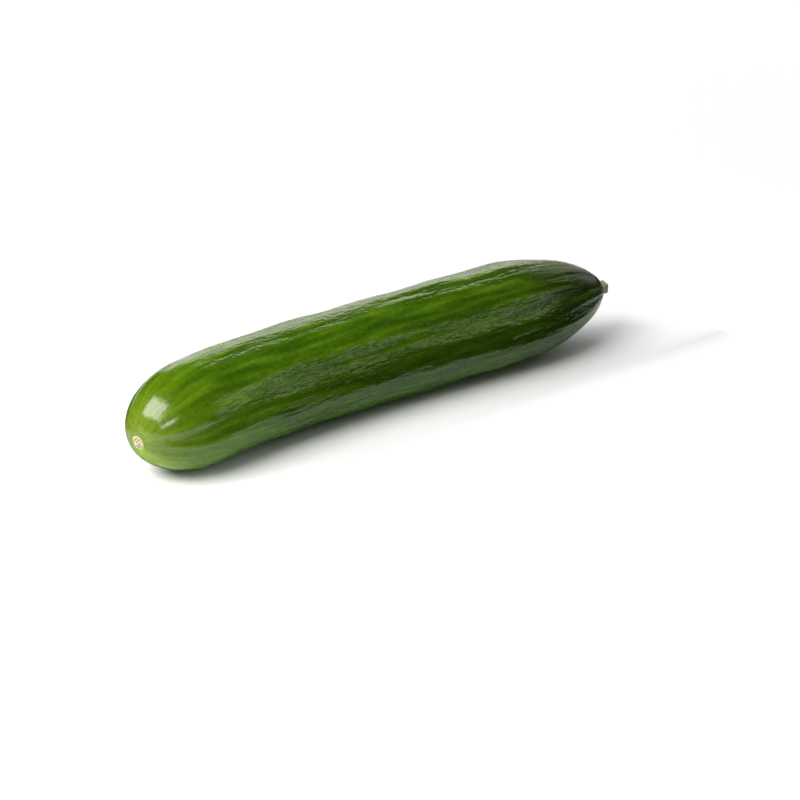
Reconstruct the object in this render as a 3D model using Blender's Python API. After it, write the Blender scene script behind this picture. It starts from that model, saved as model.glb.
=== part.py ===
"""Long greenhouse cucumber lying on its side, with the cut stub of its stalk.

Metres, +Z up. +X runs from the blossom end to the stalk end. The origin lies on the surface that the
cucumber rests on, under the middle of its length and width.
"""

import math

import bmesh
import bpy
from mathutils import Vector

# Driving dimensions of the fruit
FRUIT_LENGTH = 0.2985
FRUIT_RADIUS = 0.026
BLOSSOM_TAPER = 0.0367
BLOSSOM_ROUNDNESS = 2.1
STALK_TAPER = 0.0724
STALK_POINT = 0.63
STALK_SIDE_SWELL = 0.07
MIDDLE_SWELL = 0.03

# How the fruit bends to the side and how its ends droop as it lies
SIDE_BEND = 0.0091
SIDE_S_BEND = 0.0026
BLOSSOM_DROOP = 0.0045
STALK_DROOP = 0.0031
DROOP_REACH = 1.5
ARCH = 0.0022

# The underside is pressed flat where it rests, and its ribs and lumps die out there
REST_DEPTH = 0.0006
REST_ANGLE = math.radians(16)

# Relief of the skin
LOBES = 3
LOBE_HEIGHT = 0.0004
RIBS = 14
RIB_HEIGHT = 0.00045
RIB_SHARPNESS = 0.22
RIB_GROWTH_AT_STALK = 0.4
RIB_GROWTH_START = 0.62
WAVER_ANGLE = 0.06
WAVER_LENGTH = 0.125
LUMP_HEIGHT = 0.0003
LUMP_LENGTH = 0.068

# Dry flower scar at the blossom end and flat seat of the stalk at the other
SCAR_RADIUS = 0.0036
SCAR_DEPTH = 0.0006
SEAT_DEPTH = 0.0022

# Stalk stub
STALK_LENGTH = 0.0045
STALK_BASE_RADIUS = 0.0042
STALK_WAIST_RADIUS = 0.0034
STALK_CUT_RADIUS = 0.0035
STALK_RIDGES = 5
STALK_RIDGE_HEIGHT = 0.0003
STALK_CUT_DISH = 0.0004
GAP = 0.0003

# Mesh density
FRUIT_SEGMENTS = 84
BLOSSOM_RINGS = 14
MIDDLE_RINGS = 28
STALK_END_RINGS = 18
BLOSSOM_CROWDING = 1.3
STUB_SEGMENTS = 40
STUB_RINGS = 12
STUB_BASE_RINGS = 2
STUB_CUT_RINGS = 3
TANGENT_STEP = 0.0005

# The origin is under the middle of the whole cucumber
LENGTH_SHIFT = -(FRUIT_LENGTH - SEAT_DEPTH + GAP + STALK_LENGTH) / 2
SIDE_SHIFT = -0.0064


def fruit_station(ring):
    """Distance along the fruit of a ring counted from the blossom end, with rings crowded at both tips."""
    last = BLOSSOM_RINGS + MIDDLE_RINGS + STALK_END_RINGS
    if ring < BLOSSOM_RINGS:
        turn = math.pi / 2 * (ring / BLOSSOM_RINGS) ** BLOSSOM_CROWDING
        return BLOSSOM_TAPER * (1 - math.cos(turn) ** (2 / BLOSSOM_ROUNDNESS))
    if ring > last - STALK_END_RINGS:
        turn = math.pi / 2 * (last - ring) / STALK_END_RINGS
        return FRUIT_LENGTH - STALK_TAPER * (1 - math.cos(turn))
    share = (ring - BLOSSOM_RINGS) / MIDDLE_RINGS
    return BLOSSOM_TAPER + share * (FRUIT_LENGTH - BLOSSOM_TAPER - STALK_TAPER)


def swollen_radius(along):
    """Radius of the body without its tapered ends, a little thicker towards the stalk."""
    offset = along / FRUIT_LENGTH - 0.5
    return FRUIT_RADIUS * (1 + STALK_SIDE_SWELL * offset - MIDDLE_SWELL * offset**2)


def fruit_radius(along):
    """Radius of the smooth body, round at the blossom end and drawn out at the stalk end."""
    nose = max(0.0, 1 - along / BLOSSOM_TAPER)
    neck = max(0.0, 1 - (FRUIT_LENGTH - along) / STALK_TAPER)
    blossom_end = math.sqrt(1 - nose**BLOSSOM_ROUNDNESS)
    stalk_end = (1 - neck**2) ** STALK_POINT
    return swollen_radius(along) * blossom_end * stalk_end


def centreline(along):
    """Point of the bent centreline at a distance along the fruit."""
    share = along / FRUIT_LENGTH
    side = SIDE_BEND * math.sin(math.pi * share) + SIDE_S_BEND * math.sin(2 * math.pi * share)
    nose = max(0.0, 1 - along / (DROOP_REACH * BLOSSOM_TAPER))
    neck = max(0.0, 1 - (FRUIT_LENGTH - along) / (DROOP_REACH * STALK_TAPER))
    height = swollen_radius(along) - LOBE_HEIGHT - REST_DEPTH + ARCH * (2 * share - 1) ** 2
    height -= BLOSSOM_DROOP * nose**2 + STALK_DROOP * neck**2
    return Vector((along + LENGTH_SHIFT, side + SIDE_SHIFT, height))


def cross_section(along):
    """Centre of a section of the fruit, with its forward, sideways and upward directions."""
    forward = (centreline(along + TANGENT_STEP) - centreline(along - TANGENT_STEP)).normalized()
    sideways = Vector((0, 0, 1)).cross(forward).normalized()
    return centreline(along), forward, sideways, forward.cross(sideways)


def skin_relief(along, angle):
    """Height of the skin over the smooth body: three soft lobes, wavering ribs and slow lumps."""
    share = along / FRUIT_LENGTH
    lobes = -LOBE_HEIGHT * math.cos(LOBES * (angle + math.pi / 2))
    clear_of_rest = 1 - math.exp(-((1 + math.sin(angle)) / (1 - math.cos(REST_ANGLE))) ** 2)
    wave = 2 * math.pi * along / WAVER_LENGTH
    wavered = angle + WAVER_ANGLE * math.sin(wave) + WAVER_ANGLE / 2 * math.sin(2.7 * wave + 2 * angle)
    scallop = math.sqrt(math.sin(RIBS / 2 * wavered) ** 2 + RIB_SHARPNESS**2)
    growth = max(0.0, share - RIB_GROWTH_START) / (1 - RIB_GROWTH_START)
    strength = (1 + 0.3 * math.sin(2 * angle + 1.3 + wave)) * (1 + RIB_GROWTH_AT_STALK * growth)
    ribs = RIB_HEIGHT * strength * (scallop - 0.7)
    roll = 2 * math.pi * along / LUMP_LENGTH
    lumps = LUMP_HEIGHT * math.sin(roll + 2 * angle) * math.cos(3 * angle - 0.6 * roll)
    return lobes + (ribs + lumps) * clear_of_rest


def fruit_point(ring, angle):
    """Place of a point of the skin, from its ring and its angle round the centreline."""
    along = fruit_station(ring)
    radius = fruit_radius(along)
    radius += skin_relief(along, angle) * min(1.0, radius / FRUIT_RADIUS)
    centre, forward, sideways, upward = cross_section(min(along, FRUIT_LENGTH - SEAT_DEPTH))
    point = centre + radius * (math.cos(angle) * sideways + math.sin(angle) * upward)
    if along < BLOSSOM_TAPER and radius < SCAR_RADIUS:
        point += SCAR_DEPTH * (1 - (radius / SCAR_RADIUS) ** 2) * forward
    point.z = max(0.0, point.z)
    return point


def stub_point(ring, angle):
    """Place of a point of the stalk stub: a flared foot, a ridged waist and a slightly dished cut."""
    sides = STUB_RINGS - STUB_BASE_RINGS - STUB_CUT_RINGS
    share = min(1.0, max(0.0, (ring - STUB_BASE_RINGS) / sides))
    foot = (1 - share) ** 2
    radius = STALK_WAIST_RADIUS
    radius += (STALK_BASE_RADIUS - STALK_WAIST_RADIUS) * foot
    radius += (STALK_CUT_RADIUS - STALK_WAIST_RADIUS) * share**3
    radius += STALK_RIDGE_HEIGHT * (1 - foot) * math.cos(STALK_RIDGES * angle)
    outward = GAP + share * STALK_LENGTH
    if ring < STUB_BASE_RINGS:
        radius *= ring / STUB_BASE_RINGS
    if ring > STUB_RINGS - STUB_CUT_RINGS:
        inward = (STUB_RINGS - ring) / STUB_CUT_RINGS
        radius *= inward
        outward -= STALK_CUT_DISH * (1 - inward**2)
    seat, forward, sideways, upward = cross_section(FRUIT_LENGTH - SEAT_DEPTH)
    return seat + outward * forward + radius * (math.cos(angle) * sideways + math.sin(angle) * upward)


def grown_solid(name, segments, rings, place, material, collection):
    """A closed solid from a sphere whose poles are its two ends, each vertex moved by its own rule."""
    mesh = bpy.data.meshes.new(name)
    bm = bmesh.new()
    bmesh.ops.create_uvsphere(bm, u_segments=segments, v_segments=rings, radius=1.0)
    for vert in bm.verts:
        height = min(1.0, max(-1.0, vert.co.z))
        ring = round((math.asin(height) / math.pi + 0.5) * rings)
        vert.co = place(ring, math.atan2(vert.co.y, vert.co.x))
    bmesh.ops.triangulate(bm, faces=bm.faces)
    bm.to_mesh(mesh)
    bm.free()
    mesh.shade_smooth()
    mesh.materials.append(material)
    grown = bpy.data.objects.new(name, mesh)
    collection.objects.link(grown)
    return grown


def skin_material():
    """Glossy waxed green skin."""
    material = bpy.data.materials.new("green skin")
    material.use_nodes = True
    shader = material.node_tree.nodes["Principled BSDF"]
    shader.inputs["Base Color"].default_value = (0.07, 0.16, 0.01, 1.0)
    shader.inputs["Roughness"].default_value = 0.32
    shader.inputs["Metallic"].default_value = 0.0
    return material


def stalk_material():
    """Dull grey-green of the drying stalk."""
    material = bpy.data.materials.new("dry stalk")
    material.use_nodes = True
    shader = material.node_tree.nodes["Principled BSDF"]
    shader.inputs["Base Color"].default_value = (0.21, 0.25, 0.1, 1.0)
    shader.inputs["Roughness"].default_value = 0.7
    shader.inputs["Metallic"].default_value = 0.0
    return material


def main():
    for old in list(bpy.data.objects):
        bpy.data.objects.remove(old)
    cucumber = bpy.data.collections.new("cucumber")
    bpy.context.scene.collection.children.link(cucumber)
    fruit_rings = BLOSSOM_RINGS + MIDDLE_RINGS + STALK_END_RINGS
    grown_solid("fruit", FRUIT_SEGMENTS, fruit_rings, fruit_point, skin_material(), cucumber)
    grown_solid("stalk", STUB_SEGMENTS, STUB_RINGS, stub_point, stalk_material(), cucumber)


main()
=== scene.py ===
import math

import bpy
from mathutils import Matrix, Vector


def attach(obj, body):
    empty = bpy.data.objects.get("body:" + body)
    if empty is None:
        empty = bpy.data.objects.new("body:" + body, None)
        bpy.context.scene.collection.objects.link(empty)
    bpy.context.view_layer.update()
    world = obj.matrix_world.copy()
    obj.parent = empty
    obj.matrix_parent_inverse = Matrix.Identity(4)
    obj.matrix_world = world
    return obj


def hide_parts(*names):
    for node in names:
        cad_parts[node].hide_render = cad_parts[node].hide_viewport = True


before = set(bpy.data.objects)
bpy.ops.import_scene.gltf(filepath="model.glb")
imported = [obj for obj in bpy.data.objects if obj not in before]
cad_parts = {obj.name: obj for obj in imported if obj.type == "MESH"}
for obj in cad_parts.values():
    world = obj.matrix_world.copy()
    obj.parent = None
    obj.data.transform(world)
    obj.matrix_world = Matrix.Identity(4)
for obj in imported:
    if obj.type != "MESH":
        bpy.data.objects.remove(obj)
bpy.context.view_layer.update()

# Camera. It looks down on the lying cucumber from the side of its blossom end, with a long lens from
# a little over a metre, so the body runs from the lower left to the upper right of the picture.
CAMERA_AIM = Vector((0.00571, -0.00733, 0.0))
CAMERA_DISTANCE = 1.1
CAMERA_HEADING = math.radians(41.47)
CAMERA_ELEVATION = math.radians(22.5)
CAMERA_LENS = 100.26
CAMERA_SENSOR = 36.0

looking = Vector((math.sin(CAMERA_HEADING), math.cos(CAMERA_HEADING), 0.0))
rightward = Vector((looking.y, -looking.x, 0.0))
camera_back = -math.cos(CAMERA_ELEVATION) * looking + Vector((0.0, 0.0, math.sin(CAMERA_ELEVATION)))

camera_data = bpy.data.cameras.new("camera")
camera_data.lens = CAMERA_LENS
camera_data.sensor_width = CAMERA_SENSOR
camera_data.clip_start = 0.05
camera_data.clip_end = 20.0
camera = bpy.data.objects.new("camera", camera_data)
camera.location = CAMERA_AIM + CAMERA_DISTANCE * camera_back
camera.rotation_euler = (-camera_back).to_track_quat("-Z", "Y").to_euler()
bpy.context.scene.collection.objects.link(camera)
bpy.context.scene.camera = camera
bpy.context.scene.view_settings.view_transform = "Standard"

# Fruit. The whole body grew as one piece: firm flesh under a thin glossy skin, with three soft lobes,
# wavering lengthwise ribs, finer wrinkles and slow lumps. A bent tube of rings follows the same rule as
# the solid it stands for, and its skin is coloured from yellow-green at the blossom to dark at the stalk.
FRUIT_SIZES = {
    "Length": 0.2985,
    "Radius": 0.026,
    "Blossom Taper": 0.0367,
    "Blossom Roundness": 2.1,
    "Stalk Taper": 0.0724,
    "Stalk Point": 0.63,
    "Stalk Side Swell": 0.07,
    "Middle Swell": 0.03,
    "Side Bend": 0.0091,
    "Side S Bend": 0.0026,
    "Blossom Droop": 0.0045,
    "Stalk Droop": 0.0031,
    "Arch": 0.0022,
    "Rest Depth": 0.0006,
    "Lobe Height": 0.0004,
    "Rib Height": 0.00045,
    "Rib Growth": 0.4,
    "Lump Height": 0.0003,
    "Ridge Height": 0.0008,
    "Wrinkle Height": 0.0003,
    "Scar Radius": 0.0042,
    "Scar Depth": 0.0007,
    "Tip Inset": 0.00012,
    "Seat Depth": 0.0022,
    "Stalk Length": 0.0045,
    "Side Shift": -0.0064,
}
DROOP_REACH = 1.5
REST_ANGLE = math.radians(16)
LOBES = 3
RIBS = 14
RIB_SHARPNESS = 0.22
RIB_GROWTH_START = 0.62
RIB_LEVEL = 0.7
RIB_VARIATION = 0.3
RIB_VARIATION_TURN = 1.3
WAVER_ANGLE = 0.06
WAVER_LENGTH = 0.125
SECOND_WAVER_PITCH = 2.7
LUMP_LENGTH = 0.068
LUMP_DRIFT = 0.6
RIDGE_GRAIN = (8.5, 38.0)
WRINKLE_GRAIN = (15.0, 110.0)
RELIEF_INSET = 0.62
BLOSSOM_CALM = 0.08
BLOSSOM_CALM_REACH = (0.045, 0.2)
RIBS_OVER_CALM = 3
LOWEST_PLACE = (-1.0, -1.0, 0.0)
GAP = 0.0003
TANGENT_STEP = 0.0005
BLOSSOM_CROWDING = 1.3
FRUIT_RINGS = 370
FRUIT_SEGMENTS = 264
BLOSSOM_RING_SHARE = 0.2
STALK_RING_SHARE = 0.22
MERGE_DISTANCE = 0.000001

SKIN_COLOURS = [
    (0.0, (0.135, 0.200, 0.016)),
    (0.016, (0.090, 0.152, 0.003)),
    (0.05, (0.060, 0.122, 0.001)),
    (0.12, (0.044, 0.105, 0.001)),
    (0.25, (0.039, 0.098, 0.001)),
    (0.5, (0.037, 0.092, 0.001)),
    (0.72, (0.028, 0.072, 0.001)),
    (0.84, (0.016, 0.036, 0.001)),
    (0.95, (0.008, 0.016, 0.0015)),
    (1.0, (0.008, 0.014, 0.002)),
]
SKIN_COLOUR_DRIFT = 0.05

# Streaks of the skin: how fine they are round the fruit and along it, and their detail
BROAD_STREAKS = (2.2, 4.5, 2.0)
FINE_STREAKS = (9.0, 12.0, 3.0)
HAIR_LINES = (30.0, 8.0, 1.0)
FLECKS = (20.0, 75.0, 1.0)
BLOTCHES_PER_METRE = 420.0
PIMPLES_PER_METRE = 900.0
FLECK_DEPTH = 0.0003
PIMPLE_DEPTH = 0.00012
PALE_LINE_REACH = 0.14
SMOOTH_TIP_REACH = (0.04, 0.2)

# Where each noise starts to colour the skin and where it does so fully
BROAD_STREAK_RANGE = (0.45, 0.7)
FINE_STREAK_RANGE = (0.45, 0.7)
HAIR_LINE_RANGE = (0.54, 0.62)
BLOTCH_RANGE = (0.45, 0.6)
CREST_PALENESS_AND_HIGHLIGHT_RANGE = (0.5, 0.68)
PAINTED_GROOVE_SHADE_RANGE = (0.34, 0.46)
PAINTED_UNDERSIDE_LIGHT_RANGE = (0.35, 0.8)

# Greens painted over the skin, and tints that multiply it; the tints include a partly painted highlight on
# the crests, painted shade in the grooves and painted light on the underside
FINE_STREAK_GREEN = (0.085, 0.17, 0.01)
PALE_LINE_GREEN = (0.26, 0.38, 0.06)
BROAD_STREAK_SHADE = (0.6, 0.66, 0.6)
# Ridge crests: partly paler rib skin, partly a painted highlight
CREST_PALENESS_AND_HIGHLIGHT = (1.5, 1.4, 1.3)
# Painted shade in the grooves between the ridges
PAINTED_GROOVE_SHADE = (0.74, 0.78, 0.7)
BLOTCH_SHADE = (0.72, 0.76, 0.7)
# Painted light on the underside, standing in for light reflected up from the table
PAINTED_UNDERSIDE_LIGHT = (1.55, 1.65, 1.3)


class Field:
    """A number that flows through a node tree, so that a rule is written as plain arithmetic."""

    def __init__(self, tree, socket):
        self.tree = tree
        self.socket = socket

    def maths(self, operation, *values):
        node = self.tree.nodes.new("ShaderNodeMath")
        node.operation = operation
        for port, value in zip(node.inputs, values):
            feed(self.tree, port, value)
        return Field(self.tree, node.outputs[0])

    def __add__(self, other):
        return self.maths("ADD", self, other)

    def __radd__(self, other):
        return self.maths("ADD", other, self)

    def __sub__(self, other):
        return self.maths("SUBTRACT", self, other)

    def __rsub__(self, other):
        return self.maths("SUBTRACT", other, self)

    def __mul__(self, other):
        return self.maths("MULTIPLY", self, other)

    def __rmul__(self, other):
        return self.maths("MULTIPLY", other, self)

    def __truediv__(self, other):
        return self.maths("DIVIDE", self, other)

    def __rtruediv__(self, other):
        return self.maths("DIVIDE", other, self)

    def __pow__(self, other):
        return self.maths("POWER", self, other)

    def sin(self):
        return self.maths("SINE", self)

    def cos(self):
        return self.maths("COSINE", self)

    def root(self):
        return self.maths("SQRT", self)

    def exp(self):
        return self.maths("EXPONENT", self)

    def at_least(self, other):
        return self.maths("MAXIMUM", self, other)

    def at_most(self, other):
        return self.maths("MINIMUM", self, other)

    def below(self, other):
        return self.maths("LESS_THAN", self, other)

    def within(self, low, high):
        """0 below low, 1 above high and a straight ramp between."""
        return ((self - low) / (high - low)).at_least(0.0).at_most(1.0)


def feed(tree, port, value):
    """Gives an input a field, a socket or a plain number."""
    if isinstance(value, Field):
        tree.links.new(value.socket, port)
    elif isinstance(value, bpy.types.NodeSocket):
        tree.links.new(value, port)
    else:
        port.default_value = value


def vector_of(tree, x, y, z):
    """The vector socket with these three parts."""
    node = tree.nodes.new("ShaderNodeCombineXYZ")
    for port, value in zip(node.inputs, (x, y, z)):
        feed(tree, port, value)
    return node.outputs[0]


def vector_maths(tree, operation, *values, scale=None):
    """The vector socket of one vector maths node. Its scale is for SCALE alone."""
    node = tree.nodes.new("ShaderNodeVectorMath")
    node.operation = operation
    for port, value in zip(node.inputs, values):
        feed(tree, port, value)
    if scale is not None:
        feed(tree, node.inputs["Scale"], scale)
    return node.outputs[0]


def noise_field(tree, where, detail, roughness=0.5):
    """Smooth random variation between 0 and 1 at a vector socket."""
    node = tree.nodes.new("ShaderNodeTexNoise")
    node.inputs["Scale"].default_value = 1.0
    node.inputs["Detail"].default_value = detail
    node.inputs["Roughness"].default_value = roughness
    tree.links.new(where, node.inputs["Vector"])
    return Field(tree, node.outputs[0])


def new_recipe(name, sizes):
    """A geometry tree with a named input for each size, and the fields that read those inputs."""
    tree = bpy.data.node_groups.new(name, "GeometryNodeTree")
    tree.interface.new_socket("Geometry", in_out="OUTPUT", socket_type="NodeSocketGeometry")
    for label in sizes:
        tree.interface.new_socket(label, in_out="INPUT", socket_type="NodeSocketFloat")
    entry = tree.nodes.new("NodeGroupInput")
    return tree, {label: Field(tree, entry.outputs[label]) for label in sizes}


def ring_grid(tree, rings, segments):
    """A grid to be bent into a closed tube: its socket, the share along it and the angle round it."""
    grid = tree.nodes.new("GeometryNodeMeshGrid")
    grid.inputs["Size X"].default_value = 1.0
    grid.inputs["Size Y"].default_value = 1.0
    grid.inputs["Vertices X"].default_value = rings
    grid.inputs["Vertices Y"].default_value = segments + 1
    place = tree.nodes.new("GeometryNodeInputPosition")
    parts = tree.nodes.new("ShaderNodeSeparateXYZ")
    tree.links.new(place.outputs[0], parts.inputs[0])
    share = (Field(tree, parts.outputs[0]) + 0.5).at_least(0.0).at_most(1.0)
    angle = (Field(tree, parts.outputs[1]) + 0.5) * (-2 * math.pi)
    return grid.outputs["Mesh"], share, angle


def keep_attribute(tree, geometry, name, kind, value):
    """The geometry with a named attribute stored on its points."""
    node = tree.nodes.new("GeometryNodeStoreNamedAttribute")
    node.data_type = kind
    node.domain = "POINT"
    node.inputs["Name"].default_value = name
    tree.links.new(geometry, node.inputs["Geometry"])
    feed(tree, next(port for port in node.inputs if port.name == "Value" and port.enabled), value)
    return node.outputs["Geometry"]


def close_recipe(tree, geometry, position, material):
    """Moves the grid to its place, closes its seam and ends, shades it smooth and gives its material."""
    move = tree.nodes.new("GeometryNodeSetPosition")
    tree.links.new(geometry, move.inputs["Geometry"])
    tree.links.new(position, move.inputs["Position"])
    merge = tree.nodes.new("GeometryNodeMergeByDistance")
    merge.inputs["Distance"].default_value = MERGE_DISTANCE
    tree.links.new(move.outputs[0], merge.inputs["Geometry"])
    smooth = tree.nodes.new("GeometryNodeSetShadeSmooth")
    tree.links.new(merge.outputs[0], smooth.inputs["Geometry"])
    real = tree.nodes.new("GeometryNodeRealizeInstances")
    tree.links.new(smooth.outputs[0], real.inputs["Geometry"])
    paint = tree.nodes.new("GeometryNodeSetMaterial")
    paint.inputs["Material"].default_value = material
    tree.links.new(real.outputs[0], paint.inputs["Geometry"])
    leave = tree.nodes.new("NodeGroupOutput")
    tree.links.new(paint.outputs[0], leave.inputs["Geometry"])


def grown_piece(name, tree, sizes):
    """The plain mesh that a recipe makes from its sizes, as an object at the origin."""
    piece = bpy.data.objects.new(name, bpy.data.meshes.new(name + " start"))
    bpy.context.scene.collection.objects.link(piece)
    recipe = piece.modifiers.new("recipe", "NODES")
    recipe.node_group = tree
    for item in tree.interface.items_tree:
        if item.in_out == "INPUT":
            recipe[item.identifier] = sizes[item.name]
    evaluated = piece.evaluated_get(bpy.context.evaluated_depsgraph_get())
    mesh = bpy.data.meshes.new_from_object(evaluated)
    mesh.name = name
    piece.modifiers.remove(recipe)
    piece.data = mesh
    return piece


def swollen_radius(along, size):
    """Radius of the body without its tapered ends, a little thicker towards the stalk."""
    offset = along / size["Length"] - 0.5
    return size["Radius"] * (1 + size["Stalk Side Swell"] * offset - size["Middle Swell"] * offset * offset)


def centreline(tree, along, size):
    """Vector socket of the point of the bent centreline at a distance along the fruit."""
    share = along / size["Length"]
    side = size["Side Bend"] * (math.pi * share).sin() + size["Side S Bend"] * (2 * math.pi * share).sin()
    nose = (1 - along / (DROOP_REACH * size["Blossom Taper"])).at_least(0.0)
    neck = (1 - (size["Length"] - along) / (DROOP_REACH * size["Stalk Taper"])).at_least(0.0)
    from_middle = 2 * share - 1
    height = swollen_radius(along, size) - size["Lobe Height"] - size["Rest Depth"]
    height += size["Arch"] * from_middle * from_middle
    height -= size["Blossom Droop"] * nose * nose + size["Stalk Droop"] * neck * neck
    whole = size["Length"] - size["Seat Depth"] + GAP + size["Stalk Length"]
    return vector_of(tree, along - whole / 2, side + size["Side Shift"], height)


def cross_section(tree, along, size):
    """Vector sockets of a section's centre and of its forward, sideways and upward directions."""
    before = centreline(tree, along - TANGENT_STEP, size)
    after = centreline(tree, along + TANGENT_STEP, size)
    forward = vector_maths(tree, "NORMALIZE", vector_maths(tree, "SUBTRACT", after, before))
    level = vector_maths(tree, "CROSS_PRODUCT", vector_of(tree, 0.0, 0.0, 1.0), forward)
    sideways = vector_maths(tree, "NORMALIZE", level)
    upward = vector_maths(tree, "CROSS_PRODUCT", forward, sideways)
    return centreline(tree, along, size), forward, sideways, upward


def ring_point(tree, section, radius, angle, forwards):
    """Vector socket of the point at a radius and angle in a section, moved forwards along the body."""
    centre, forward, sideways, upward = section
    across = vector_maths(tree, "SCALE", sideways, scale=radius * angle.cos())
    up = vector_maths(tree, "SCALE", upward, scale=radius * angle.sin())
    ahead = vector_maths(tree, "SCALE", forward, scale=forwards)
    middle = vector_maths(tree, "ADD", centre, ahead)
    return vector_maths(tree, "ADD", middle, vector_maths(tree, "ADD", across, up))


def lengthwise_noise(tree, along, angle, grain):
    """Noise drawn out along the fruit. The grain is its units in one radian round and in a metre along."""
    rounds, per_metre = grain
    where = vector_of(tree, rounds * angle.cos(), rounds * angle.sin(), per_metre * along)
    return noise_field(tree, where, 1.0)


def skin_relief(tree, along, angle, size):
    """Height of the skin over the smooth body, and the noise of its fine ridges.

    The height adds up lobes, wavering ribs, slow lumps, fine ridges and wrinkles. All but the lobes die
    out where the fruit rests, and ribs, ridges and wrinkles are calm round the blossom end.
    """
    share = along / size["Length"]
    lobes = -1 * size["Lobe Height"] * (LOBES * (angle + math.pi / 2)).cos()
    lift = (1 + angle.sin()) / (1 - math.cos(REST_ANGLE))
    clear_of_rest = 1 - (-1 * lift * lift).exp()
    wave = 2 * math.pi / WAVER_LENGTH * along
    second_wave = SECOND_WAVER_PITCH * wave + 2 * angle
    wavered = angle + WAVER_ANGLE * wave.sin() + WAVER_ANGLE / 2 * second_wave.sin()
    groove = (RIBS / 2 * wavered).sin()
    scallop = (groove * groove + RIB_SHARPNESS**2).root()
    growth = (share - RIB_GROWTH_START).at_least(0.0) / (1 - RIB_GROWTH_START)
    strength = 1 + RIB_VARIATION * (2 * angle + RIB_VARIATION_TURN + wave).sin()
    strength *= 1 + size["Rib Growth"] * growth
    ribs = size["Rib Height"] * strength * (scallop - RIB_LEVEL)
    roll = 2 * math.pi / LUMP_LENGTH * along
    lumps = size["Lump Height"] * (roll + 2 * angle).sin() * (3 * angle - LUMP_DRIFT * roll).cos()
    calm = BLOSSOM_CALM + (1 - BLOSSOM_CALM) * share.within(*BLOSSOM_CALM_REACH)
    ribs *= (RIBS_OVER_CALM * calm).at_most(1.0)
    crest = lengthwise_noise(tree, along, angle, RIDGE_GRAIN)
    ridges = size["Ridge Height"] * (crest - RELIEF_INSET) * calm
    wrinkle = lengthwise_noise(tree, along, angle, WRINKLE_GRAIN)
    wrinkles = size["Wrinkle Height"] * (wrinkle - RELIEF_INSET) * calm
    return lobes + (ribs + lumps + ridges + wrinkles) * clear_of_rest, crest


def fruit_recipe(material):
    """The tree that bends a grid into the fruit, and keeps where each point lies for the skin's colour."""
    tree, size = new_recipe("fruit recipe", FRUIT_SIZES)
    mesh, share, angle = ring_grid(tree, FRUIT_RINGS, FRUIT_SEGMENTS)
    blossom_turn = math.pi / 2 * share.within(0.0, BLOSSOM_RING_SHARE) ** BLOSSOM_CROWDING
    stalk_turn = math.pi / 2 * (1 - share).within(0.0, STALK_RING_SHARE)
    middle = share.within(BLOSSOM_RING_SHARE, 1 - STALK_RING_SHARE)
    nose = blossom_turn.cos().at_least(0.0) ** (2 / size["Blossom Roundness"])
    along = size["Blossom Taper"] * (1 - nose)
    along += middle * (size["Length"] - size["Blossom Taper"] - size["Stalk Taper"])
    along += size["Stalk Taper"] * stalk_turn.cos().at_least(0.0)
    radius = swollen_radius(along, size) * blossom_turn.sin()
    radius *= stalk_turn.sin() ** (2 * size["Stalk Point"])
    relief, crest = skin_relief(tree, along, angle, size)
    radius += relief * (radius / size["Radius"]).at_most(1.0)
    section = cross_section(tree, along.at_most(size["Length"] - size["Seat Depth"]), size)
    in_scar = (1 - (radius / size["Scar Radius"]) ** 2).at_least(0.0) * share.below(0.5)
    at_tip = 1 - (along / size["Blossom Taper"]).at_most(1.0)
    pressed_in = size["Scar Depth"] * in_scar + size["Tip Inset"] * at_tip
    point = ring_point(tree, section, radius, angle, pressed_in)
    on_table = vector_maths(tree, "MAXIMUM", point, vector_of(tree, *LOWEST_PLACE))
    geometry = keep_attribute(tree, mesh, "along", "FLOAT", along / size["Length"])
    geometry = keep_attribute(tree, geometry, "crest", "FLOAT", crest)
    turned = vector_of(tree, angle.cos(), angle.sin(), 0.0)
    geometry = keep_attribute(tree, geometry, "round", "FLOAT_VECTOR", turned)
    close_recipe(tree, geometry, on_table, material)
    return tree


def new_paint(name):
    """A node material, its tree and its Principled shader."""
    material = bpy.data.materials.new(name)
    material.use_nodes = True
    tree = material.node_tree
    return material, tree, tree.nodes["Principled BSDF"]


def attribute_of(tree, name):
    """The attribute node that reads a piece's stored attribute."""
    node = tree.nodes.new("ShaderNodeAttribute")
    node.attribute_name = name
    return node


def blend_of(tree, factor, first, second, kind="MIX"):
    """Colour socket between two colours, each a socket or a plain colour."""
    node = tree.nodes.new("ShaderNodeMix")
    node.data_type = "RGBA"
    node.blend_type = kind
    feed(tree, node.inputs[0], factor)
    for port, colour in ((node.inputs[6], first), (node.inputs[7], second)):
        feed(tree, port, colour if isinstance(colour, bpy.types.NodeSocket) else (*colour, 1.0))
    return node.outputs[2]


def ramp_of(tree, factor, stops):
    """Colour socket of a colour ramp with these stops."""
    node = tree.nodes.new("ShaderNodeValToRGB")
    while len(node.color_ramp.elements) < len(stops):
        node.color_ramp.elements.new(1.0)
    for element, (place, colour) in zip(node.color_ramp.elements, stops):
        element.position = place
        element.color = (*colour, 1.0)
    feed(tree, node.inputs[0], factor)
    return node.outputs[0]


def bump_of(tree, height, depth, normal=None):
    """Normal socket of a bump of this depth in metres."""
    node = tree.nodes.new("ShaderNodeBump")
    node.inputs["Strength"].default_value = 1.0
    node.inputs["Distance"].default_value = depth
    feed(tree, node.inputs["Height"], height)
    if normal is not None:
        tree.links.new(normal, node.inputs["Normal"])
    return node.outputs[0]


def object_place(tree, scale):
    """Vector socket of the place on the object, scaled."""
    place = tree.nodes.new("ShaderNodeTexCoord")
    return vector_maths(tree, "SCALE", place.outputs["Object"], scale=scale)


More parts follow.
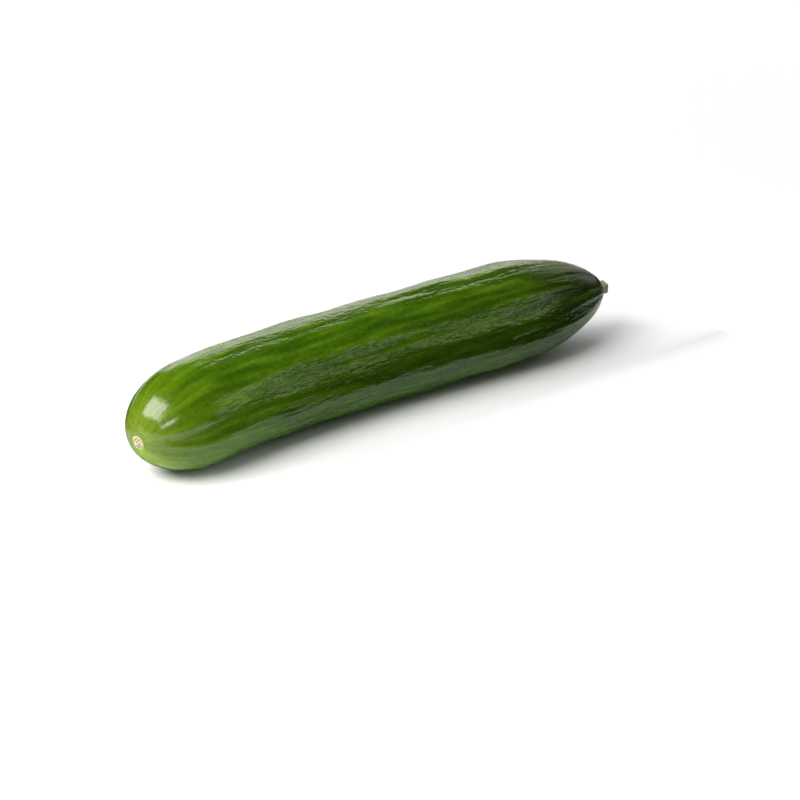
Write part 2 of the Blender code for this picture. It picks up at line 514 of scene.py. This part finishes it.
def skin_paint():
    """Waxy green skin: darker along the body, streaked lengthwise and pale in lines round the scar.

    The skin is smoother at the blossom end, so that a light shows there as one clean patch.
    """
    material, tree, shader = new_paint("cucumber skin")
    along = Field(tree, attribute_of(tree, "along").outputs["Fac"])
    crest = Field(tree, attribute_of(tree, "crest").outputs["Fac"])
    turned = attribute_of(tree, "round").outputs["Vector"]

    def streaks(round_scale, along_scale, detail):
        """Noise drawn out along the fruit."""
        spread = vector_maths(tree, "SCALE", turned, scale=round_scale)
        where = vector_maths(tree, "ADD", spread, vector_of(tree, 0.0, 0.0, along * along_scale))
        return noise_field(tree, where, detail)

    broad = streaks(*BROAD_STREAKS)
    fine = streaks(*FINE_STREAKS)
    hair = streaks(*HAIR_LINES)
    flecks = streaks(*FLECKS)
    blotch = noise_field(tree, object_place(tree, BLOTCHES_PER_METRE), 2.0)
    near_scar = (1 - along.within(0.0, PALE_LINE_REACH)) ** 1.5
    past_scar = 1 - near_scar
    base = ramp_of(tree, along + SKIN_COLOUR_DRIFT * (broad - 0.5), SKIN_COLOURS)
    base = blend_of(tree, 0.3 * fine.within(*FINE_STREAK_RANGE), base, FINE_STREAK_GREEN)
    in_streak = 0.55 * past_scar * broad.within(*BROAD_STREAK_RANGE)
    base = blend_of(tree, in_streak, base, BROAD_STREAK_SHADE, "MULTIPLY")
    # Ridge crests lighter: partly the skin's paler ribs, partly a painted highlight of light glancing off
    # them
    pale_and_highlit_crest = past_scar * crest.within(*CREST_PALENESS_AND_HIGHLIGHT_RANGE)
    base = blend_of(tree, pale_and_highlit_crest, base, CREST_PALENESS_AND_HIGHLIGHT, "MULTIPLY")
    # Painted shade: the skin is darker in the grooves between the ridges
    painted_groove_shade = past_scar * (1 - crest.within(*PAINTED_GROOVE_SHADE_RANGE))
    base = blend_of(tree, painted_groove_shade, base, PAINTED_GROOVE_SHADE, "MULTIPLY")
    base = blend_of(tree, 0.6 * blotch.within(*BLOTCH_RANGE), base, BLOTCH_SHADE, "MULTIPLY")
    on_line = 0.25 * near_scar**2 * hair.within(*HAIR_LINE_RANGE)
    base = blend_of(tree, on_line, base, PALE_LINE_GREEN)
    # Painted light: the downward-facing underside is made lighter, standing in for light reflected up from
    # the table
    upward = tree.nodes.new("ShaderNodeSeparateXYZ")
    tree.links.new(turned, upward.inputs[0])
    painted_underside_light = (-1 * Field(tree, upward.outputs[1])).within(*PAINTED_UNDERSIDE_LIGHT_RANGE)
    base = blend_of(tree, painted_underside_light, base, PAINTED_UNDERSIDE_LIGHT, "MULTIPLY")
    tree.links.new(base, shader.inputs["Base Color"])
    shader.inputs["Roughness"].default_value = 0.15
    shader.inputs["Specular IOR Level"].default_value = 0.5
    pimples = noise_field(tree, object_place(tree, PIMPLES_PER_METRE), 1.0)
    roughened = 0.1 + 0.9 * along.within(*SMOOTH_TIP_REACH)
    pimpled = bump_of(tree, pimples * (0.3 + 0.7 * roughened), PIMPLE_DEPTH)
    flecked = bump_of(tree, flecks * roughened, FLECK_DEPTH, pimpled)
    tree.links.new(flecked, shader.inputs["Normal"])
    return material


fruit = grown_piece("fruit_skin", fruit_recipe(skin_paint()), FRUIT_SIZES)
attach(fruit, "root")
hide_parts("fruit")

# Flower scar. Where the flower dropped off, a dry corky disc about 7 mm across closes the blossom end.
# It is shrunken skin with fine radial wrinkles and a small knob in the middle, and it grew a little
# sunk into the fruit.
SCAR_SIZES = {
    **FRUIT_SIZES,
    "Disc Radius": 0.0034,
    "Disc Front": 0.0004,
    "Disc Back": 0.0006,
    "Disc Sink": 0.0008,
    "Knob Height": 0.0002,
    "Spoke Height": 0.00012,
    "Crumb Height": 0.0004,
}
SCAR_RINGS = 96
SCAR_SEGMENTS = 128
SCAR_SPOKES = 17
SPOKE_BEND = 6
SPOKE_BENDS_PER_METRE = 500.0
CRUMBS_PER_METRE = 1000.0
KNOB_REACH = 0.2
FRONT_FLATNESS = 0.6
EDGE_LOBES = 1.4
EDGE_VARIATION = 0.12
SCAR_CREAM = (0.60, 0.55, 0.38)
SCAR_TAN = (0.26, 0.17, 0.11)
SCAR_GREEN = (0.42, 0.50, 0.14)


def scar_recipe(material):
    """The tree of the scar: a thin disc whose front is wrinkled towards a knob."""
    tree, size = new_recipe("scar recipe", SCAR_SIZES)
    mesh, share, angle = ring_grid(tree, SCAR_RINGS, SCAR_SEGMENTS)
    reach = (math.pi * share).sin().at_least(0.0)
    facing = (math.pi * share).cos()
    front = facing.at_least(0.0) ** FRONT_FLATNESS
    back = (-1 * facing).at_least(0.0)
    edge = vector_of(tree, EDGE_LOBES * angle.cos(), EDGE_LOBES * angle.sin(), 3.0)
    uneven = 1 + EDGE_VARIATION * (noise_field(tree, edge, 2.0) - 0.5)
    radius = size["Disc Radius"] * reach * uneven
    flat = vector_of(tree, radius * angle.cos(), radius * angle.sin(), 0.0)
    crumb = noise_field(tree, vector_maths(tree, "SCALE", flat, scale=CRUMBS_PER_METRE), 1.0)
    knob = (-1 * (reach / KNOB_REACH) * (reach / KNOB_REACH)).exp()
    bend = noise_field(tree, vector_maths(tree, "SCALE", flat, scale=SPOKE_BENDS_PER_METRE), 1.0)
    spokes = (SCAR_SPOKES * angle + SPOKE_BEND * bend).sin() * reach
    relief = size["Knob Height"] * knob + size["Spoke Height"] * spokes
    relief += size["Crumb Height"] * (crumb - 0.5)
    outward = size["Disc Front"] * front - size["Disc Back"] * back + relief * front - size["Disc Sink"]
    section = cross_section(tree, 0.0, size)
    point = ring_point(tree, section, radius, angle, -1 * outward)
    geometry = keep_attribute(tree, mesh, "reach", "FLOAT", reach)
    geometry = keep_attribute(tree, geometry, "crumb", "FLOAT", crumb)
    close_recipe(tree, geometry, point, material)
    return tree


def scar_paint():
    """Dry cork: cream, with tan specks in its hollows and a greenish rim."""
    material, tree, shader = new_paint("dry scar")
    reach = Field(tree, attribute_of(tree, "reach").outputs["Fac"])
    crumb = Field(tree, attribute_of(tree, "crumb").outputs["Fac"])
    base = blend_of(tree, crumb.within(0.44, 0.58), SCAR_TAN, SCAR_CREAM)
    base = blend_of(tree, reach.within(0.75, 1.0), base, SCAR_GREEN)
    tree.links.new(base, shader.inputs["Base Color"])
    shader.inputs["Roughness"].default_value = 0.75
    shader.inputs["Specular IOR Level"].default_value = 0.3
    grain = noise_field(tree, object_place(tree, 4000.0), 2.0)
    tree.links.new(bump_of(tree, grain, 0.00004), shader.inputs["Normal"])
    return material


scar = grown_piece("flower_scar", scar_recipe(scar_paint()), SCAR_SIZES)
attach(scar, "root")

# Stalk stub. The last few millimetres of the stalk stay on the fruit where it was cut from the vine:
# a five-ridged fibrous stem with a flared foot that grew out of the fruit, drying from the cut inwards.
STALK_SIZES = {
    **FRUIT_SIZES,
    "Base Radius": 0.0042,
    "Waist Radius": 0.0034,
    "Cut Radius": 0.0035,
    "Ridge Height": 0.0003,
    "Fibre Height": 0.00016,
    "Cut Dish": 0.0004,
    "Cut Grain": 0.0003,
    "Foot Sink": 0.0005,
}
STALK_RIDGES = 5
STALK_RINGS = 120
STALK_SEGMENTS = 160
STALK_FOOT_SHARE = 0.1
STALK_CUT_SHARE = 0.25
FIBRE_GRAIN = 6
FIBRE_INSET = 0.8
CUT_GRAINS_PER_METRE = 1500
STALK_SIDE_COLOURS = [
    (0.0, (0.38, 0.42, 0.28)),
    (0.25, (0.22, 0.26, 0.13)),
    (0.7, (0.20, 0.23, 0.12)),
    (1.0, (0.26, 0.26, 0.15)),
]
PALE_FIBRE = (0.48, 0.50, 0.34)
STALK_CUT_PITH = (0.34, 0.35, 0.20)
STALK_CUT_RIM = (0.16, 0.19, 0.08)


def stalk_recipe(material):
    """The tree of the stub: a ridged tube from a foot sunk in the fruit to a slightly dished cut."""
    tree, size = new_recipe("stalk recipe", STALK_SIZES)
    mesh, share, angle = ring_grid(tree, STALK_RINGS, STALK_SEGMENTS)
    rise = share.within(STALK_FOOT_SHARE, 1 - STALK_CUT_SHARE)
    foot = (1 - rise) ** 2
    inward = (1 - share).within(0.0, STALK_CUT_SHARE)
    fibre_place = vector_of(tree, FIBRE_GRAIN * angle.cos(), FIBRE_GRAIN * angle.sin(), 2 * rise)
    fibres = noise_field(tree, fibre_place, 3.0) - FIBRE_INSET
    radius = size["Waist Radius"] + (size["Base Radius"] - size["Waist Radius"]) * foot
    radius += (size["Cut Radius"] - size["Waist Radius"]) * rise * rise * rise
    radius += size["Ridge Height"] * (1 - foot) * (STALK_RIDGES * angle).cos()
    radius += size["Fibre Height"] * fibres
    radius *= share.within(0.0, STALK_FOOT_SHARE) * inward
    grains = CUT_GRAINS_PER_METRE * radius
    flat = vector_of(tree, grains * angle.cos(), grains * angle.sin(), 0.0)
    hollow = size["Cut Dish"] * (1 - inward * inward)
    rough = size["Cut Grain"] * (noise_field(tree, flat, 2.0) - 0.5) * (1 - inward)
    outward = (size["Stalk Length"] + GAP + size["Foot Sink"]) * rise - size["Foot Sink"] - hollow - rough
    section = cross_section(tree, size["Length"] - size["Seat Depth"], size)
    point = ring_point(tree, section, radius, angle, outward)
    geometry = keep_attribute(tree, mesh, "rise", "FLOAT", rise)
    geometry = keep_attribute(tree, geometry, "inward", "FLOAT", inward)
    turned = vector_of(tree, angle.cos(), angle.sin(), 0.0)
    geometry = keep_attribute(tree, geometry, "round", "FLOAT_VECTOR", turned)
    close_recipe(tree, geometry, point, material)
    return tree


def stalk_paint():
    """Drying stem: grey-green sides with pale lengthwise fibres, and a paler pith at the cut."""
    material, tree, shader = new_paint("drying stalk")
    rise = Field(tree, attribute_of(tree, "rise").outputs["Fac"])
    inward = Field(tree, attribute_of(tree, "inward").outputs["Fac"])
    turned = attribute_of(tree, "round").outputs["Vector"]
    spread = vector_maths(tree, "SCALE", turned, scale=2.0 * FIBRE_GRAIN)
    where = vector_maths(tree, "ADD", spread, vector_of(tree, 0.0, 0.0, 2 * rise))
    fibre = noise_field(tree, where, 3.0)
    side = ramp_of(tree, rise, STALK_SIDE_COLOURS)
    side = blend_of(tree, 0.6 * fibre.within(0.45, 0.65), side, PALE_FIBRE)
    cut = blend_of(tree, inward.within(0.75, 0.95), STALK_CUT_PITH, STALK_CUT_RIM)
    base = blend_of(tree, (1 - inward).within(0.0, 0.05), side, cut)
    tree.links.new(base, shader.inputs["Base Color"])
    shader.inputs["Roughness"].default_value = 0.7
    shader.inputs["Specular IOR Level"].default_value = 0.3
    tree.links.new(bump_of(tree, fibre, 0.0001), shader.inputs["Normal"])
    return material


stalk = grown_piece("stalk_stub", stalk_recipe(stalk_paint()), STALK_SIZES)
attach(stalk, "root")
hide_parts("stalk")

# Table. A plain white studio table, wide enough to fill the picture from any side. It glows a little
# further out, so that only the shadow close to the cucumber stays grey.
TABLE_HALF_WIDTH = 4.0
TABLE_WHITE = (0.83, 0.825, 0.85, 1.0)
TABLE_GLOW = 0.35
TABLE_GLOW_REACH = (0.35, 1.2)

table_mesh = bpy.data.meshes.new("table")
table_corners = [(-1, -1), (1, -1), (1, 1), (-1, 1)]
table_mesh.from_pydata(
    [(TABLE_HALF_WIDTH * x, TABLE_HALF_WIDTH * y, 0.0) for x, y in table_corners], [], [(0, 1, 2, 3)]
)
table_paint, table_tree, table_shader = new_paint("white table")
table_shader.inputs["Base Color"].default_value = TABLE_WHITE
table_shader.inputs["Roughness"].default_value = 0.9
table_shader.inputs["Specular IOR Level"].default_value = 0.1
table_place = table_tree.nodes.new("ShaderNodeVectorMath")
table_place.operation = "LENGTH"
table_tree.links.new(object_place(table_tree, 1.0), table_place.inputs[0])
table_glow = TABLE_GLOW * Field(table_tree, table_place.outputs["Value"]).within(*TABLE_GLOW_REACH)
feed(table_tree, table_shader.inputs["Emission Strength"], table_glow)
table_shader.inputs["Emission Color"].default_value = (1.0, 1.0, 1.0, 1.0)
table_mesh.materials.append(table_paint)
table = bpy.data.objects.new("table", table_mesh)
bpy.context.scene.collection.objects.link(table)

# Studio light. Soft boxes hang round the table: a large one on the left, a strip over the camera, a weak one
# on the right and two wide ones behind, which draw the silver line along the back. A white room fills the
# shadows. Black cards, a black sheet and a pale green one only show in the skin and dim the table's glare.
ROOM_FILL = 0.55
ROOM_IN_GLOSS = 0.01
OVERHEAD_STRENGTH = 1.0
OVERHEAD_SPREAD = math.radians(80)
KEY_LIGHT_TINT = (1.0, 0.98, 0.93)
RIGHT_LIGHT_TINT = (0.9, 1.0, 0.66)
BACK_LIGHT_TINT = (1.0, 0.97, 0.8)
CARD_BLACK = (0.01, 0.015, 0.008, 1.0)
FRONT_CARD = [(-0.2, -0.048, 0.0), (-0.08, -0.048, 0.032)]
FLANK_CARD = [(-0.08, -0.048, 0.032), (0.2, -0.048, 0.032)]
BACK_CARD = [
    (-0.26, 0.0, 0.0),
    (-0.22, 0.07, 0.036),
    (-0.1, 0.075, 0.03),
    (0.16, 0.065, 0.018),
    (0.21, 0.04, 0.03),
    (0.2, -0.048, 0.034),
]
BLACK_SHEET = [(-0.26, -0.005), (0.06, 0.14), 0.0005]
BLACK_FADES = [(-0.11, -0.21), (-0.11, 0.06)]
GREEN_SHEET = [(-0.2, -0.048), (0.2, -0.005), 0.0004]
GREEN_FADES = [(-0.09, -0.19)]
SHEET_GREEN = (0.72, 0.88, 0.64, 1.0)


def direction_to(azimuth, elevation):
    """Unit vector towards a light. Azimuth is in degrees from straight behind the fruit, to the right."""
    turn = math.radians(azimuth)
    rise = math.radians(elevation)
    level = math.cos(turn) * looking + math.sin(turn) * rightward
    return math.cos(rise) * level + Vector((0.0, 0.0, math.sin(rise)))


def hang_light(name, data, outward, distance):
    """A light in the scene that faces the cucumber from a direction."""
    light = bpy.data.objects.new(name, data)
    light.location = CAMERA_AIM + distance * outward
    light.rotation_euler = outward.to_track_quat("Z", "Y").to_euler()
    light.visible_camera = False
    bpy.context.scene.collection.objects.link(light)
    return light


def softbox(name, azimuth, elevation, roll, distance, width, height, brightness):
    """A rectangular area light with this brightness, rolled about its line to the cucumber."""
    data = bpy.data.lights.new(name, "AREA")
    data.shape = "RECTANGLE"
    data.size = width
    data.size_y = height
    data.energy = brightness * math.pi * width * height
    light = hang_light(name, data, direction_to(azimuth, elevation), distance)
    light.rotation_euler.rotate_axis("Z", math.radians(roll))
    return light


overhead = bpy.data.lights.new("overhead", "SUN")
overhead.energy = OVERHEAD_STRENGTH
overhead.angle = OVERHEAD_SPREAD
above = hang_light("overhead", overhead, direction_to(azimuth=-75, elevation=65), distance=2.0)
above.visible_glossy = False
key = softbox(
    "key light", azimuth=-128, elevation=44, roll=3, distance=1.2,
    width=1.02, height=0.64, brightness=9.8,
)
key.data.color = KEY_LIGHT_TINT
right = softbox(
    "right light", azimuth=97, elevation=17, roll=0, distance=1.2,
    width=0.7, height=0.3, brightness=1.5,
)
right.data.color = RIGHT_LIGHT_TINT
strip = softbox(
    "camera strip", azimuth=-174, elevation=22, roll=34, distance=1.3,
    width=0.6, height=0.16, brightness=11.0,
)
strip.visible_diffuse = False
back = softbox(
    "back light", azimuth=-7, elevation=22.5, roll=0, distance=1.4,
    width=0.95, height=0.74, brightness=1.85,
)
side = softbox(
    "back side light", azimuth=30, elevation=22, roll=0, distance=1.4,
    width=0.85, height=0.8, brightness=0.55,
)
for light in (back, side):
    light.data.color = BACK_LIGHT_TINT
    light.visible_diffuse = False


def dull_paint(name, colour, fades=()):
    """Matt paint of one colour. Each fade runs along X, from where it is solid to where it is clear."""
    paint, tree, shader = new_paint(name)
    shader.inputs["Base Color"].default_value = colour
    shader.inputs["Roughness"].default_value = 1.0
    place = tree.nodes.new("ShaderNodeSeparateXYZ")
    tree.links.new(object_place(tree, 1.0), place.inputs[0])
    cover = 1.0
    for solid_at, clear_at in fades:
        cover *= 1 - Field(tree, place.outputs[0]).within(solid_at, clear_at)
    feed(tree, shader.inputs["Alpha"], cover)
    return paint


def unseen_sheet(name, corners, faces, paint):
    """A card or sheet round the cucumber that only shows in the skin and casts no shadow."""
    mesh = bpy.data.meshes.new(name)
    mesh.from_pydata(corners, [], faces)
    mesh.materials.append(paint)
    sheet = bpy.data.objects.new(name, mesh)
    sheet.visible_camera = False
    sheet.visible_diffuse = False
    sheet.visible_shadow = False
    bpy.context.scene.collection.objects.link(sheet)
    return sheet


def standing_card(name, top_edge, paint):
    """A card that stands on the table under its top edge."""
    feet = [(x, y, 0.0) for x, y, height in top_edge]
    count = len(feet)
    faces = [(i, i + 1, count + i + 1, count + i) for i in range(count - 1)]
    return unseen_sheet(name, feet + top_edge, faces, paint)


def lying_sheet(name, near_corner, far_corner, height, paint):
    """A rectangular sheet that hangs just over the table between two opposite corners."""
    (left, front), (right, back) = near_corner, far_corner
    outline = [(left, front), (right, front), (right, back), (left, back)]
    return unseen_sheet(name, [(x, y, height) for x, y in outline], [(0, 1, 2, 3)], paint)


card_paint = dull_paint("black card", CARD_BLACK)
standing_card("front_card", FRONT_CARD, card_paint)
standing_card("back_card", BACK_CARD, card_paint)
# The flank card also dims the light on the near flank
flank_card = standing_card("flank_card", FLANK_CARD, card_paint)
flank_card.visible_diffuse = True
lying_sheet("green_sheet", *GREEN_SHEET, dull_paint("green sheet", SHEET_GREEN, GREEN_FADES))
lying_sheet("black_sheet", *BLACK_SHEET, dull_paint("fading black sheet", CARD_BLACK, BLACK_FADES))

room = bpy.data.worlds.new("room")
room.use_nodes = True
room_tree = room.node_tree
room_tree.nodes.clear()
seen = room_tree.nodes.new("ShaderNodeLightPath")
in_gloss = Field(room_tree, seen.outputs["Is Glossy Ray"])
in_camera = Field(room_tree, seen.outputs["Is Camera Ray"])
walls = room_tree.nodes.new("ShaderNodeBackground")
strength = ROOM_FILL + in_camera * (1 - ROOM_FILL) - in_gloss * (ROOM_FILL - ROOM_IN_GLOSS)
feed(room_tree, walls.inputs["Strength"], strength)
sky = room_tree.nodes.new("ShaderNodeOutputWorld")
room_tree.links.new(walls.outputs["Background"], sky.inputs["Surface"])
bpy.context.scene.world = room
